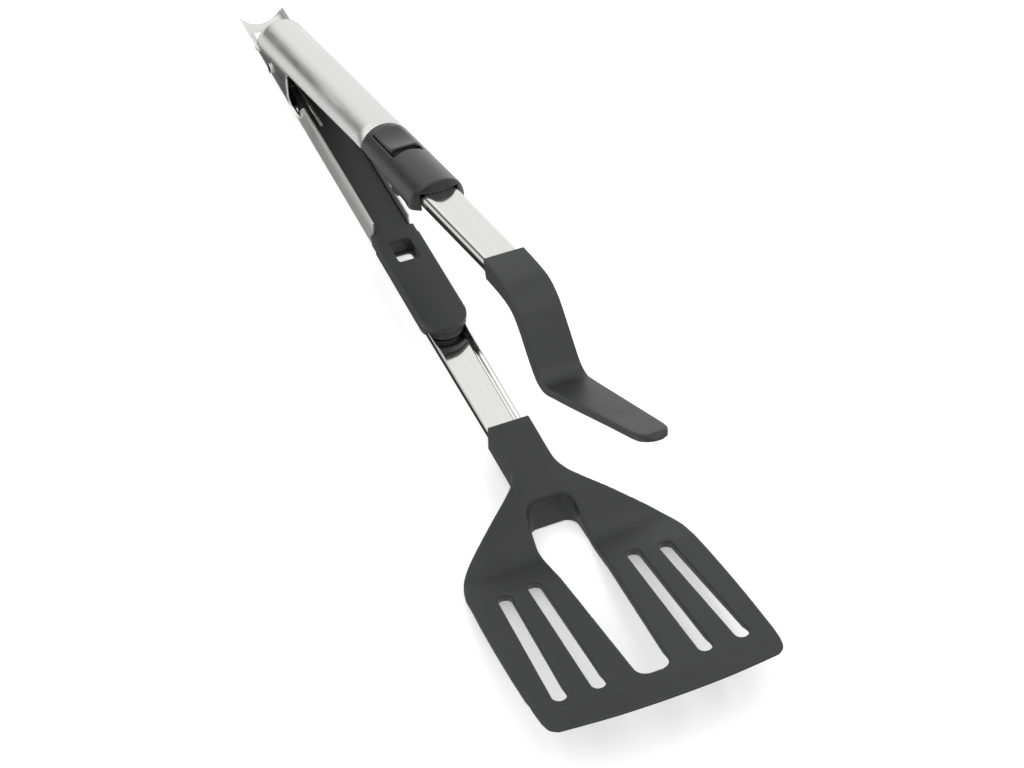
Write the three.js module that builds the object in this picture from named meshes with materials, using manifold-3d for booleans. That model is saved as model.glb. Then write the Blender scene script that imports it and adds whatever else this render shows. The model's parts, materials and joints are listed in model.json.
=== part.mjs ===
// Spring loaded kitchen tongs: a tube handle with a lock and a curved finger, hinged to a lower arm
// that ends in a slotted turner. Millimetres, +Z up, +X from the handle to the turner.
//
// Two local frames share their origin on the hinge pin's axis:
//   arm frame   X runs along the lower arm
//   tube frame  X runs along the handle tube, turned up from the arm frame by openAngle

import * as THREE from 'three';
import { mergeVertices } from 'three/addons/utils/BufferGeometryUtils.js';
import Module from 'manifold-3d';

const wasm = await Module();
wasm.setup();

// ---------------------------------------------------------------- driving dimensions

const openAngle = 16.4;        // degrees between tube and lower arm when open
const restTilt = 1.7;          // degrees that the lower arm tips nose up on a table
const gap = 0.3;               // clearance between touching pieces

const tubeRadius = 12.4;
const tubeWall = 0.9;
const tubeRise = 3.5;          // tube axis above the pin
const tubeEnd = 133.3;         // where the tube meets the lock cap
const rearDrop = -1.2;         // axis of the closed rear section, below the pin
const rimX = -21;              // rear rim
const lipX = 31;               // front of the two side tongues
const throatX = 24;            // front edge of the closed rear section
const tailX = -52;             // end of the hanging tail
const tailTop = -5.7;          // upper edge of the tail

const capEnd = 203;
const noseRadius = 14.5;       // rounding of the cap's front, seen from above
const windowFrom = 137.6;
const windowTo = 165.6;
const windowHalf = 6.8;
const slideTravel = 4;

const pinRadius = 1.75;
const earInner = 5.8;
const earOuter = 7.6;
const wireRadius = 0.8;
const coilRadius = 3.9;
const legHeight = -3.1;        // height of the spring's lower leg
const legSide = -4.1;          // how far that leg stands off the middle

const sheet = 0.8;             // steel sheet of the channels
const webBottom = -14.5;       // underside of the lower arm's channels
const flangeTop = 1;
const shankTop = -9;
const linerTop = -4.1;
const linerBottom = webBottom + sheet + gap;
const padTop = -4;
const padFrom = 127;
const padStraight = 186.5;     // where the pad's rounded end starts
const padHalf = 10.7;
const padSkirt = -11.3;
const holeFrom = 135.5;
const holeTo = 149.5;
const holeHalf = 5;
const cavityHalf = 6.6;        // hollow under the catch hole

const neckFrom = 259;
const bladeFront = 413.5;

// ---------------------------------------------------------------- geometry helpers

const radians = THREE.MathUtils.degToRad;

function solidOf(geometry) {
  const bare = geometry.clone();
  bare.deleteAttribute('normal');
  bare.deleteAttribute('uv');
  const merged = mergeVertices(bare, 1e-4);
  return new wasm.Manifold(new wasm.Mesh({
    numProp: 3,
    vertProperties: new Float32Array(merged.attributes.position.array),
    triVerts: new Uint32Array(merged.index.array),
  }));
}

function geometryOf(solid) {
  const mesh = solid.getMesh();
  const geometry = new THREE.BufferGeometry();
  geometry.setAttribute('position', new THREE.BufferAttribute(mesh.vertProperties, 3));
  geometry.setIndex(new THREE.BufferAttribute(mesh.triVerts, 1));
  geometry.computeVertexNormals();
  return geometry;
}

function box([x0, x1], [y0, y1], [z0, z1]) {
  const geometry = new THREE.BoxGeometry(x1 - x0, y1 - y0, z1 - z0);
  return solidOf(geometry.translate((x0 + x1) / 2, (y0 + y1) / 2, (z0 + z1) / 2));
}

// A bar along X whose outline is a list of [x, radius], centred on height z.
function turnedX(profile, z, sides = 48) {
  const points = [[profile[0][0], 0], ...profile, [profile.at(-1)[0], 0]];
  const lathe = new THREE.LatheGeometry(points.map(([x, r]) => new THREE.Vector2(r, x)), sides);
  return lathe.rotateZ(-Math.PI / 2).translate(0, 0, z);
}

function barX(radius, x0, x1, z) {
  return turnedX([[x0, radius], [x1, radius]], z);
}

function barY(radius, [y0, y1], [x, z] = [0, 0], sides = 24) {
  const geometry = new THREE.CylinderGeometry(radius, radius, y1 - y0, sides);
  return solidOf(geometry.translate(x, (y0 + y1) / 2, z));
}

function barZ(radius, [x, y], [z0, z1], sides = 20) {
  const geometry = new THREE.CylinderGeometry(radius, radius, z1 - z0, sides);
  return solidOf(geometry.rotateX(Math.PI / 2).translate(x, y, (z0 + z1) / 2));
}

// An outline in X and Z, as thick as the span in Y.
function sideSlab(shape, [y0, y1]) {
  const geometry = new THREE.ExtrudeGeometry(shape, {
    depth: y1 - y0, bevelEnabled: false, curveSegments: 10,
  });
  return solidOf(geometry.rotateX(Math.PI / 2).translate(0, y1, 0));
}

// An outline in X and Y, as thick as the span in Z.
function planSlab(shape, [z0, z1]) {
  const geometry = new THREE.ExtrudeGeometry(shape, {
    depth: z1 - z0, bevelEnabled: false, curveSegments: 10,
  });
  return solidOf(geometry.translate(0, 0, z0));
}

function polygon(points) {
  return new THREE.Shape(points.map(([x, y]) => new THREE.Vector2(x, y)));
}

function smooth(points, steps) {
  const curve = new THREE.SplineCurve(points.map(([x, y]) => new THREE.Vector2(x, y)));
  return curve.getPoints(steps).map((point) => [point.x, point.y]);
}

// Both sides of an outline that is the same left and right of the X axis.
function mirrored(half) {
  const other = half.map(([x, y]) => [x, -y]).reverse();
  return polygon([...half, ...other]);
}

// A straight slot with round ends between two points in X and Y.
function slotShape([x0, y0], [x1, y1], radius) {
  const angle = Math.atan2(y1 - y0, x1 - x0);
  const shape = new THREE.Shape();
  shape.absarc(x1, y1, radius, angle - Math.PI / 2, angle + Math.PI / 2, false);
  shape.absarc(x0, y0, radius, angle + Math.PI / 2, angle + 1.5 * Math.PI, false);
  return shape;
}

function roundedWindow([x0, x1], half, radius) {
  const shape = new THREE.Shape();
  shape.absarc(x1 - radius, half - radius, radius, 0, Math.PI / 2, false);
  shape.absarc(x0 + radius, half - radius, radius, Math.PI / 2, Math.PI, false);
  shape.absarc(x0 + radius, radius - half, radius, Math.PI, 1.5 * Math.PI, false);
  shape.absarc(x1 - radius, radius - half, radius, -Math.PI / 2, 0, false);
  return shape;
}

function wireAlong(points, steps) {
  const path = new THREE.CatmullRomCurve3(points.map((point) => new THREE.Vector3(...point)));
  const section = new THREE.Shape();
  section.absarc(0, 0, wireRadius, 0, 2 * Math.PI, false);
  return new THREE.ExtrudeGeometry(section, { steps, extrudePath: path, curveSegments: 4 });
}

function tubeToArm([x, z]) {
  const turn = radians(openAngle);
  return [x * Math.cos(turn) - z * Math.sin(turn), x * Math.sin(turn) + z * Math.cos(turn)];
}

// Turns a geometry made in the arm frame into the tube frame.
function inTubeFrame(geometry) {
  return geometry.rotateY(radians(openAngle));
}

// ---------------------------------------------------------------- materials

function material(color, roughness, metalness) {
  return new THREE.MeshStandardMaterial({ color, roughness, metalness });
}

const brushedSteel = material(0xc9c8c6, 0.34, 1);
const polishedSteel = material(0xdedddb, 0.12, 1);
const springSteel = material(0xb9b6b0, 0.3, 1);
const blackNylon = material(0x3d3e3f, 0.55, 0);
const blackGloss = material(0x2c2c2e, 0.3, 0);
const washerNylon = material(0xd8d6cf, 0.5, 0);
const bronze = material(0xa9824b, 0.35, 1);

function piece(name, solid, finish) {
  const geometry = solid instanceof THREE.BufferGeometry ? solid : geometryOf(solid);
  const mesh = new THREE.Mesh(geometry, finish.clone());
  mesh.name = name;
  return mesh;
}

// ---------------------------------------------------------------- handle tube (tube frame)

// An outline in the arm frame's X and Z, reaching half to either side.
function armSlab(shape, half) {
  const geometry = new THREE.ExtrudeGeometry(shape, {
    depth: 2 * half, bevelEnabled: false, curveSegments: 10,
  });
  return solidOf(inTubeFrame(geometry.rotateX(Math.PI / 2).translate(0, half, 0)));
}

// The straight tube joined to the closed rear section, which lies along the lower arm.
// Flat cheeks fill the wedge where their axes part.
function tubeBody(radius, tubeFrom, tubeTo, rearFrom, rearTo) {
  const turn = radians(openAngle);
  const crossing = (rearDrop - tubeRise * Math.cos(turn)) / Math.sin(turn);
  const cheekEnd = tubeToArm([40, tubeRise]);
  const cheeks = polygon([
    tubeToArm([crossing, tubeRise]), [cheekEnd[0], rearDrop], cheekEnd,
  ]);
  const tube = solidOf(barX(radius, tubeFrom, tubeTo, tubeRise));
  const rear = solidOf(inTubeFrame(barX(radius, rearFrom, rearTo, rearDrop)));
  return tube.add(rear).add(armSlab(cheeks, radius - 0.02));
}

// Everything below the tube's two lower edges and ahead of the closed rear section.
function undersideCut() {
  const apex = tubeToArm([28.9, 6.1]);
  const edgeEnd = tubeToArm([160, 8.1]);
  const shape = new THREE.Shape();
  shape.moveTo(throatX, 0);
  shape.lineTo(throatX, 11.5);
  shape.quadraticCurveTo(throatX, 13.4, ...apex);
  shape.lineTo(...edgeEnd);
  shape.lineTo(edgeEnd[0], -60);
  shape.lineTo(lipX, -60);
  shape.lineTo(lipX, -7.5);
  shape.quadraticCurveTo(throatX, -6, throatX, 0);
  return armSlab(shape, 30);
}

// What is taken away above the hanging tail.
function tailCut() {
  const shape = new THREE.Shape();
  shape.moveTo(rimX, 40);
  shape.lineTo(rimX, tailTop + 2.5);
  shape.quadraticCurveTo(rimX, tailTop, rimX - 2.5, tailTop);
  shape.lineTo(tailX + 3, tailTop);
  shape.quadraticCurveTo(tailX, tailTop, tailX, tailTop - 3);
  shape.lineTo(tailX - 30, tailTop - 3);
  shape.lineTo(tailX - 30, 40);
  return armSlab(shape, 30);
}

function armBoxCut([x0, x1], [y0, y1], [z0, z1]) {
  const geometry = new THREE.BoxGeometry(x1 - x0, y1 - y0, z1 - z0);
  geometry.translate((x0 + x1) / 2, (y0 + y1) / 2, (z0 + z1) / 2);
  return solidOf(inTubeFrame(geometry));
}

function handleShell() {
  const inner = tubeRadius - tubeWall;
  return tubeBody(tubeRadius, -14, tubeEnd, tailX, lipX)
    .subtract(tubeBody(inner, -12, tubeEnd + 5, tailX - 5, lipX + 5))
    .subtract(undersideCut())
    .subtract(tailCut())
    .subtract(armBoxCut([20.5, lipX + 5], [-9.4, 9.4], [-20, 0]))
    .subtract(armBoxCut([tailX + 5.5, rimX - 3], [-7.6, 7.6], [-20, -5]))
    .subtract(barY(pinRadius + gap, [-20, 20]));
}

function endPlug() {
  const plug = barX(tubeRadius - tubeWall - gap, rimX + 1, -10.5, rearDrop);
  return solidOf(inTubeFrame(plug));
}

function hingePin() {
  const headFrom = tubeRadius + 0.25;
  const pin = barY(pinRadius, [-headFrom - 0.2, headFrom + 0.2]);
  const left = barY(2.5, [-headFrom - 0.5, -headFrom]);
  const right = barY(2.5, [headFrom, headFrom + 0.5]);
  return pin.add(left).add(right);
}

function ring(outer, inner, span) {
  return barY(outer, span).subtract(barY(inner, [span[0] - 1, span[1] + 1]));
}

// Coil round the pin and the leg that presses up against the inside of the tube.
function torsionSpring() {
  const turns = 4.25;
  const coilFrom = 4.9;
  const coilTo = -2.3;
  const perTurn = 12;
  const points = [];
  for (let i = 0; i <= turns * perTurn; i += 1) {
    const angle = (i / perTurn) * 2 * Math.PI + Math.PI;
    const y = coilFrom + ((coilTo - coilFrom) * i) / (turns * perTurn);
    points.push([coilRadius * Math.cos(angle), y, coilRadius * Math.sin(angle)]);
  }
  const leg = [[-2.4, coilTo - 0.1, 3.6], [2, coilTo, 7.5], [14, coilTo, 10.6], [40, coilTo, 13.2]];
  return wireAlong([...points.slice(0, -3), ...leg], 150);
}

// ---------------------------------------------------------------- lock (tube frame)

// Lower edge of the cap, deepening towards its front.
function capSide() {
  return polygon([
    [tubeEnd + gap, 40], [tubeEnd + gap, 7.8], [171, 5.5], [190, 3.6], [196, 3.2],
    [capEnd + 5, 3.2], [capEnd + 5, 40],
  ]);
}

// The cap's front is rounded in plan and closed down to the channel's web.
function lockCap() {
  const inner = tubeRadius - tubeWall - gap;
  const nose = slotShape([tubeEnd - 20, 0], [capEnd - noseRadius, 0], noseRadius);
  const outer = solidOf(barX(tubeRadius, tubeEnd + gap, capEnd + 1, tubeRise))
    .intersect(sideSlab(capSide(), [-20, 20]))
    .intersect(planSlab(nose, [-20, 40]));
  const spigot = solidOf(barX(inner, 122, tubeEnd + 2, tubeRise))
    .intersect(box([120, tubeEnd + 3], [-20, 20], [9.2, 30]));
  return outer.add(spigot)
    .subtract(box([110, 167.6], [-8.6, 8.6], [-20, 11.6]))
    .subtract(box([167, capEnd + 5], [-8.6, 8.6], [-20, 11.3]))
    .subtract(box([windowFrom, windowTo], [-windowHalf, windowHalf], [5, 30]))
    .subtract(barZ(1.5, [176, 0], [5, 14.3]))
    .subtract(barZ(1.5, [190, 0], [5, 14.3]));
}

// Thumb button with a dished top, on a plate that is wider than its window.
function slideButton() {
  const half = windowHalf - 0.4;
  const from = windowFrom + 0.3;
  const to = windowTo - slideTravel;
  const dish = barY(60, [-20, 20], [(from + to) / 2, tubeRise + tubeRadius + 59], 160);
  const crown = solidOf(barX(tubeRadius + 0.9, from, to, tubeRise));
  const block = box([from, to], [-half, half], [10.5, 30]).intersect(crown).subtract(dish);
  const plate = box([136.4, 163.2], [-8.2, 8.2], [9.5, 11.2]);
  return block.add(plate).subtract(barZ(1.5, [152, 0], [5, 13]));
}

// Flat top, stem and forward-pointing toe.
function latchHook() {
  const outline = polygon([
    [139, 9.2], [139, 7.2], [140.2, 7.2], [140.2, -4], [138.8, -7], [138.8, -12.2], [140, -13.4],
    [145.6, -13.4], [146.6, -12.4], [146.6, -9.2], [144.8, -9.2], [144.8, 7.2], [146, 7.2], [146, 9.2],
  ]);
  const flange = box([139, 155], [-4.5, 4.5], [7.4, 9.2]);
  return sideSlab(outline, [-2.4, 2.4]).add(flange).subtract(barZ(1.5, [152, 0], [5, 12]));
}

function screwUp([x, y], headFrom, headTo, tip, headRadius, shankRadius) {
  const head = barZ(headRadius, [x, y], [headFrom, headTo]);
  return head.add(barZ(shankRadius, [x, y], [headFrom, tip]));
}

function detentSpring() {
  const leaf = new THREE.Shape();
  leaf.moveTo(160, 8.4);
  leaf.quadraticCurveTo(163.3, 9, 166.6, 8.4);
  leaf.lineTo(166.6, 7.9);
  leaf.quadraticCurveTo(163.3, 8.5, 160, 7.9);
  return sideSlab(leaf, [-8.3, 8.3]);
}

// ---------------------------------------------------------------- channels

// A folded sheet channel: a side outline cut to a tapering width, then hollowed between two heights.
// grow widens it all over, to cut the pocket that it sits in.
function channel({ side, from, to, halfFrom, halfTo, hollow }, grow = 0) {
  const taper = (offset) => mirrored([
    [from - 20, halfFrom + offset], [from, halfFrom + offset],
    [to, halfTo + offset], [to + 20, halfTo + offset],
  ]);
  const inset = -sheet - grow;
  const outer = sideSlab(polygon(side), [-20, 20]).intersect(planSlab(taper(grow), [-40, 40]));
  return outer.subtract(planSlab(taper(inset), hollow));
}

const upperChannelSpec = {
  side: [[168, 11], [168, 5.5], [288, 5.1], [288, 10.4]],
  from: 168, to: 288, halfFrom: 8.3, halfTo: 7.6, hollow: [-20, 9.9],
};

const lowerChannelSpec = {
  side: [
    [21.5, webBottom], [22.5, -12.5], [36.5, flangeTop], [padFrom - gap, flangeTop],
    [padFrom - gap, shankTop], [150, shankTop], [150, webBottom],
  ],
  from: 21.5, to: 150, halfFrom: 8.95, halfTo: 8.75, hollow: [webBottom + sheet, 20],
};

const shankSpec = {
  side: [[150.3, webBottom], [150.3, shankTop], [284, shankTop], [284, webBottom]],
  from: 150.3, to: 284, halfFrom: 9, halfTo: 7.8, hollow: [webBottom + sheet, 20],
};

function upperChannel() {
  return channel(upperChannelSpec)
    .subtract(barZ(1.6, [176, 0], [0, 20]))
    .subtract(barZ(1.6, [190, 0], [0, 20]));
}

function lowerChannel() {
  return channel(lowerChannelSpec)
    .subtract(planSlab(roundedWindow([135.8, 147], 5.4, 1.8), [-20, 0]))
    .subtract(barZ(1.8, [90, 0], [-20, 0]))
    .subtract(barZ(1.8, [127, 0], [-20, 0]));
}

function turnerShank() {
  return channel(shankSpec).subtract(barZ(1.8, [178, 0], [-20, 0]));
}

// ---------------------------------------------------------------- finger (tube frame)

function fingerSide() {
  const top = smooth([
    [272, 12.2], [285, 11.2], [296, 9.4], [304, 4.5], [309.5, -3], [315, -11.5], [319.5, -17.6],
    [324.5, -19.6], [331, -18.6], [350, -14], [380, -6.6], [409.5, 0.7],
  ], 44);
  const bottom = smooth([
    [411.5, -0.4], [410.5, -2.1], [380, -9.8], [350, -17.5], [333, -21.6], [323.5, -23.6],
    [316, -21.6], [310, -14.5], [304, -5.2], [298, 0.4], [288, 2.4], [272, 2.9],
  ], 44);
  return polygon([...top, ...bottom]);
}

function fingerPlan() {
  return mirrored([
    [272, 8.7], [296, 9], [322, 8.9], [367, 7.4], [402, 6.2], [406.5, 5.7], [410, 4], [412, 1.4],
  ]);
}

function gripperFinger() {
  const socket = { ...upperChannelSpec, side: [[260, 11], [260, 4.8], [288.4, 4.8], [288.4, 10.7]] };
  return sideSlab(fingerSide(), [-20, 20])
    .intersect(planSlab(fingerPlan(), [-60, 60]))
    .subtract(channel(socket, gap));
}

// ---------------------------------------------------------------- liner and catch (arm frame)

function roundedEnd(half, straight, reach) {
  const points = [];
  for (let i = 0; i <= 10; i += 1) {
    const angle = (i / 10) * (Math.PI / 2);
    points.push([straight + reach * Math.sin(angle), half * Math.cos(angle)]);
  }
  return points;
}

// Two hinge ears and a trough-shaped cover, seen from the side.
function linerSide() {
  const shape = new THREE.Shape();
  shape.absarc(0, 0, 6.2, radians(-100), radians(50), true);
  shape.lineTo(12, linerTop);
  shape.lineTo(padFrom + 2, linerTop);
  shape.lineTo(padFrom + 2, linerBottom);
  shape.lineTo(25, linerBottom);
  shape.lineTo(21, -9.4);
  shape.lineTo(10, -8.4);
  return shape;
}

function armLiner() {
  const body = sideSlab(linerSide(), [-earOuter, earOuter])
    .subtract(box([-10, 12.2], [-earInner, earInner], [-20, 20]))
    .subtract(box([12, padFrom - 6], [-earInner, earInner], [-20, linerTop - 2.5]));
  const padBlock = mirrored([[padFrom, earOuter], ...roundedEnd(earOuter, padStraight, 8.6)]);
  const padPlan = (inset) => {
    const half = padHalf - inset;
    return mirrored([
      [padFrom, half - 0.5], [132.4, half - 0.5], [133.4, half], ...roundedEnd(half, padStraight, half),
    ]);
  };
  const flangeSlot = (from, to) => box([padFrom - 5, 250], [from, to], [-20, shankTop + gap]);
  const base = planSlab(padPlan(0.35), [padSkirt, padTop - 3.7])
    .subtract(flangeSlot(earOuter, 9.3))
    .subtract(flangeSlot(-9.3, -earOuter));
  return body
    .add(planSlab(padBlock, [linerBottom, padTop - 4]))
    .add(base)
    .add(planSlab(padPlan(0.8), [padTop - 4, padTop - 3]))
    .add(planSlab(padPlan(0), [padTop - 3.2, padTop]))
    .subtract(box([holeFrom - 1.5, 156.5], [-cavityHalf, cavityHalf], [-20, padTop - 2.9]))
    .subtract(planSlab(roundedWindow([holeFrom, holeTo], holeHalf, 1.4), [-20, 0]))
    .subtract(barY(3.5, [-20, 20]))
    .subtract(barZ(1.8, [90, 0], [-20, -5.4]))
    .subtract(barZ(1.8, [127, 0], [-20, -6.4]))
    .subtract(barZ(1.8, [178, 0], [-20, -6.4]));
}

function catchPlate() {
  const half = cavityHalf - gap;
  return box([holeTo + gap, 156.2], [-half, half], [padTop - 3.9, padTop - 3.2]);
}

// The lower leg: an end turn round the pin, then a straight run along the liner.
function springLeg() {
  const points = [];
  for (let step = 0; step <= 9; step += 1) {
    const angle = (step / 12) * 2 * Math.PI;
    points.push([coilRadius * Math.cos(angle), legSide, coilRadius * Math.sin(angle)]);
  }
  const run = [[6, -3.7], [12, legHeight], [30, legHeight], [48, legHeight]];
  return wireAlong([...points, ...run.map(([x, z]) => [x, legSide, z])], 60);
}

// ---------------------------------------------------------------- turner (arm frame)

function turnerSide() {
  const top = smooth([
    [neckFrom, -3.6], [284, -4.4], [292, -6.2], [300, -10.6], [308, -16.2], [314, -19.8],
    [319, -20.6], [326, -18.8], [336, -15.8],
  ], 32);
  const bottom = smooth([
    [336, -20], [326, -23], [319, -24.5], [313, -24.2], [306, -21.5], [296, -18], [284, -16.4],
    [neckFrom, -16.2],
  ], 30);
  const front = [[405.5, -3.63], [bladeFront + 3, -2.6], [bladeFront + 3, -4], [396, -7.4], [392, -9.3]];
  return polygon([...top, ...front, ...bottom]);
}

function turnerPlan() {
  const flare = smooth([
    [neckFrom, 9.3], [272, 9.3], [284, 9.5], [290, 11.8], [295, 17], [302, 26.5], [309, 35.8],
    [314, 41.4], [320, 45.4], [328, 47.6],
  ], 34);
  const edge = [[345, 48.8], [361, 49.5], [378, 49.9], [400, 50]];
  const corner = smooth([
    [406.5, 49.6], [410.5, 48.6], [412.6, 46.4], [bladeFront, 43], [415.4, 22], [416, 0],
  ], 16);
  return mirrored([...flare, ...edge, ...corner.slice(0, -1)]);
}

function centralSlot() {
  const shape = new THREE.Shape();
  shape.moveTo(302.5, 0);
  shape.lineTo(302.5, 5.5);
  shape.quadraticCurveTo(302.5, 10, 307, 10.6);
  shape.lineTo(316, 11);
  shape.lineTo(395.5, 7.1);
  shape.absarc(395.5, 0, 7.1, Math.PI / 2, -Math.PI / 2, true);
  shape.lineTo(316, -11);
  shape.lineTo(307, -10.6);
  shape.quadraticCurveTo(302.5, -10, 302.5, -5.5);
  return planSlab(shape, [-60, 60]);
}

// Thick root under the rear end of the central slot.
function turnerRoot() {
  return sideSlab(polygon([
    [284, -12], [286, -17], [291, -21], [298, -23.8], [313, -24.1], [316, -22.5], [310, -19],
    [300, -12.5], [290, -8.5],
  ]), [-14, 14]);
}

function turnerHead() {
  let head = sideSlab(turnerSide(), [-60, 60])
    .add(turnerRoot())
    .intersect(planSlab(turnerPlan(), [-60, 60]));
  for (const side of [-1, 1]) {
    head = head
      .subtract(planSlab(slotShape([337.5, side * 34.9], [396.5, side * 38], 2.9), [-60, 60]))
      .subtract(planSlab(slotShape([335.5, side * 21.5], [397, side * 22.2], 2.9), [-60, 60]));
  }
  const socket = {
    ...shankSpec,
    side: [[240, -14.8], [240, -8.7], [284.4, -8.7], [284.4, -14.8]],
    hollow: [-13.4, 20],
  };
  return head.subtract(centralSlot()).subtract(channel(socket, gap));
}

// ---------------------------------------------------------------- assembly

const handle = new THREE.Group();
handle.rotation.y = -radians(openAngle);
handle.add(
  piece('handle_shell', handleShell(), brushedSteel),
  piece('end_plug', endPlug(), blackNylon),
  piece('hinge_pin', hingePin(), polishedSteel),
  piece('torsion_spring', torsionSpring(), springSteel),
  piece('lock_cap', lockCap(), blackGloss),
  piece('cap_screw_rear', screwUp([176, 0], 8.3, 9.6, 14, 2.6, 1.2), polishedSteel),
  piece('cap_screw_front', screwUp([190, 0], 8.3, 9.6, 14, 2.6, 1.2), polishedSteel),
  piece('detent_spring', detentSpring(), springSteel),
  piece('upper_channel', upperChannel(), polishedSteel),
  piece('gripper_finger', gripperFinger(), blackNylon),
  piece('slide_button', slideButton(), blackGloss),
  piece('latch_hook', latchHook(), blackNylon),
  piece('hook_screw', screwUp([152, 0], 5.6, 7.1, 12.6, 2.4, 1.2), polishedSteel),
);

const lowerArm = new THREE.Group();
lowerArm.add(
  piece('lower_channel', lowerChannel(), brushedSteel),
  piece('arm_liner', armLiner(), blackNylon),
  piece('catch_plate', catchPlate(), polishedSteel),
  piece('turner_shank', turnerShank(), polishedSteel),
  piece('turner_head', turnerHead(), blackNylon),
  piece('spring_leg', springLeg(), springSteel),
  piece('liner_rivet', screwUp([90, 0], -15.3, webBottom - gap, -6, 3, 1.5), polishedSteel),
  piece('pad_rivet_rear', screwUp([127, 0], -15.3, webBottom - gap, -7, 3, 1.5), polishedSteel),
  piece('pad_rivet_front', screwUp([178, 0], -15.3, webBottom - gap, -7, 3, 1.5), polishedSteel),
);

for (const [name, side] of [['left', -1], ['right', 1]]) {
  const span = (near, far) => [side * near, side * far].sort((a, b) => a - b);
  handle.add(piece(`spacer_${name}`, ring(3.6, pinRadius + gap, span(8, 10.1)), washerNylon));
  lowerArm.add(piece(`bush_${name}`, ring(3.2, pinRadius + 0.05, span(earInner, earOuter)), bronze));
}

const tongs = new THREE.Group();
tongs.rotation.y = -radians(restTilt);
tongs.add(handle, lowerArm);

// Origin under the middle of the tongs, on the table.
const model = new THREE.Group();
model.add(tongs);
model.updateMatrixWorld(true);
const bounds = new THREE.Box3().setFromObject(model, true);
tongs.position.set(-(bounds.min.x + bounds.max.x) / 2, 0, -bounds.min.z);

export default model;
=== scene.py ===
"""Spring loaded kitchen tongs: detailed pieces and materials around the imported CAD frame.

Pieces are modelled in millimetres in two local frames that share the hinge pin as their origin.
In the arm frame X runs along the lower arm, in the tube frame along the handle tube.
"""
import json
import math

import bmesh
import bpy
import numpy as np
from mathutils import Matrix, Vector


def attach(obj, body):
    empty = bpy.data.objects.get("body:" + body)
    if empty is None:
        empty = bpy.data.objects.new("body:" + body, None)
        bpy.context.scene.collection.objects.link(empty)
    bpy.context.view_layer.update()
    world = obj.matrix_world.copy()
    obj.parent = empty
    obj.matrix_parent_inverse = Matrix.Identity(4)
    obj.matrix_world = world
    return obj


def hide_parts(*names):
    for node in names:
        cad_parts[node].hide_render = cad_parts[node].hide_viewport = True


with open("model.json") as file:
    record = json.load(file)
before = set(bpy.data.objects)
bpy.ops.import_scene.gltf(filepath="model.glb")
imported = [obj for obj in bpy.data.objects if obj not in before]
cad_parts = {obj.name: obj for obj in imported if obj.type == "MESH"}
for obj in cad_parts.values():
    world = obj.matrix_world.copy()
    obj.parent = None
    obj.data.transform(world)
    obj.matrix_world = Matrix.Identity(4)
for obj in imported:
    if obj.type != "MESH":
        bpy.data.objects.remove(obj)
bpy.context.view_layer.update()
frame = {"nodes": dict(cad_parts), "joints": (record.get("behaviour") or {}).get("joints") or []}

# ---------------------------------------------------------------- places taken from the frame

MM = 0.001
OPEN_ANGLE = math.radians(16.4)

joints = {joint["name"]: joint for joint in frame["joints"]}
pivot = Vector(joints["arm_hinge"]["pos_m"])
tube_axis = Vector(joints["lock_slide"]["axis"])
tube_turn = math.atan2(tube_axis.z, tube_axis.x)
arm_turn = tube_turn - OPEN_ANGLE


def local_frame(turn):
    return Matrix.Translation(pivot) @ Matrix.Rotation(-turn, 4, "Y") @ Matrix.Scale(MM, 4)


ARM = local_frame(arm_turn)
TUBE = local_frame(tube_turn)

# ---------------------------------------------------------------- driving dimensions, millimetres

TUBE_RADIUS = 12.4
TUBE_WALL = 0.9
TUBE_RISE = 3.5
TUBE_END = 133.3
REAR_DROP = -1.2
RIM_X = -21.0
TAIL_X = -52.0
TAIL_TOP = -5.7
THROAT_X = 24.0
LIP_X = 31.0
SHEET = 0.8
WEB_BOTTOM = -14.5
FLANGE_TOP = 1.0
SHANK_TOP = -9.0
WINDOW_IN_WEB = (135.8, 147.0)
WINDOW_CORNER = 1.8
WINDOW_STRAIGHT = 3.6

# ---------------------------------------------------------------- distance fields for moulded pieces


def meet(a, b, radius):
    """Where both fields are inside, with the edge between them rounded."""
    a, b = a + radius, b + radius
    corner = np.sqrt(np.maximum(a, 0) ** 2 + np.maximum(b, 0) ** 2)
    return np.minimum(np.maximum(a, b), 0) + corner - radius


def cut(a, b, radius):
    return meet(a, -b, radius)


def join(a, b, radius):
    return -meet(-a, -b, radius)


def span(value, low, high):
    """Distance to the slab between two values."""
    return np.maximum(low - value, value - high)


def outline_distance(points, u, v):
    """Signed distance to a closed outline in a plane, negative inside."""
    nearest = np.inf
    inside = np.zeros(np.broadcast(u, v).shape, bool)
    for (u0, v0), (u1, v1) in zip(points, points[1:] + points[:1]):
        du, dv = u1 - u0, v1 - v0
        t = np.clip(((u - u0) * du + (v - v0) * dv) / (du * du + dv * dv), 0, 1)
        nearest = np.minimum(nearest, (u - u0 - t * du) ** 2 + (v - v0 - t * dv) ** 2)
        if dv:
            crosses = ((v0 > v) != (v1 > v)) & (u < du * (v - v0) / dv + u0)
            inside = inside ^ crosses
    return np.where(inside, -1, 1) * np.sqrt(nearest)


def slot_distance(start, end, radius, u, v):
    """Distance to a straight slot with round ends."""
    du, dv = end[0] - start[0], end[1] - start[1]
    t = np.clip(((u - start[0]) * du + (v - start[1]) * dv) / (du * du + dv * dv), 0, 1)
    return np.sqrt((u - start[0] - t * du) ** 2 + (v - start[1] - t * dv) ** 2) - radius


def smooth(points, steps):
    """Evenly spaced points on a Catmull-Rom curve through the given ones."""
    p = np.array([points[0], *points, points[-1]], float)
    out = []
    spans = len(points) - 1
    for i in range(steps + 1):
        place = min(i / steps * spans, spans - 1e-9)
        k, t = int(place), place % 1
        a, b, c, d = p[k : k + 4]
        point = b + 0.5 * t * (c - a + t * (2 * a - 5 * b + 4 * c - d + t * (3 * (b - c) + d - a)))
        out.append((float(point[0]), float(point[1])))
    return out


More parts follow.
